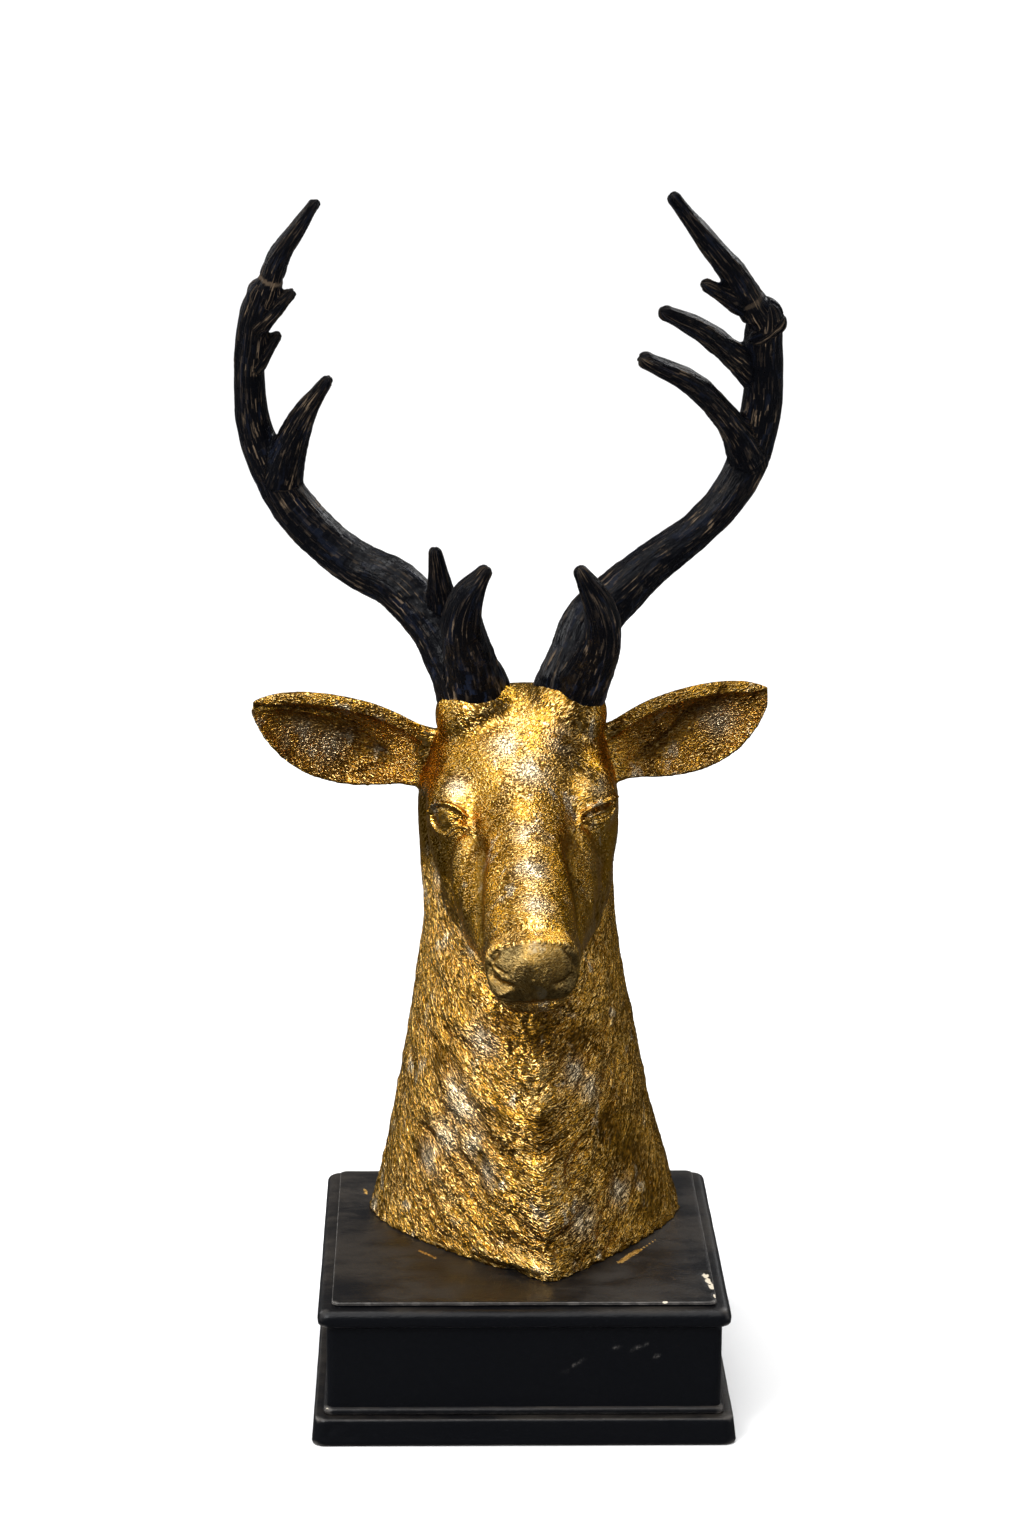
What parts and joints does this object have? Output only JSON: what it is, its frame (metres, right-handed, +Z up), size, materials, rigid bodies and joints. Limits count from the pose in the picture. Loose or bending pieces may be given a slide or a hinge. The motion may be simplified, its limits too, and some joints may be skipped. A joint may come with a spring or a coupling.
{
  "type": "stag head statue",
  "caption": "Free-standing gilded stag head and neck with black antlers on a square black moulded plinth, an indoor ornament.",
  "frame": {"origin": "middle of the plinth's flat underside", "axes": "+Z up; the stag faces -Y; +X towards the viewer's right as seen from the front"},
  "size_m": [0.436, 0.4112, 0.963],
  "materials": {
    "plinth_black": "satin black paint over cast resin",
    "gilding": "gold leaf over carved fur, rubbed back and toned brown in the hollows",
    "antler_black": "semi-gloss black with brown-gold rubbed on the ridges"
  },
  "bodies": {
    "root": {"plinth": "plinth_black", "head": "gilding", "antler_left": "antler_black", "antler_right": "antler_black"}
  },
  "joints": []
}
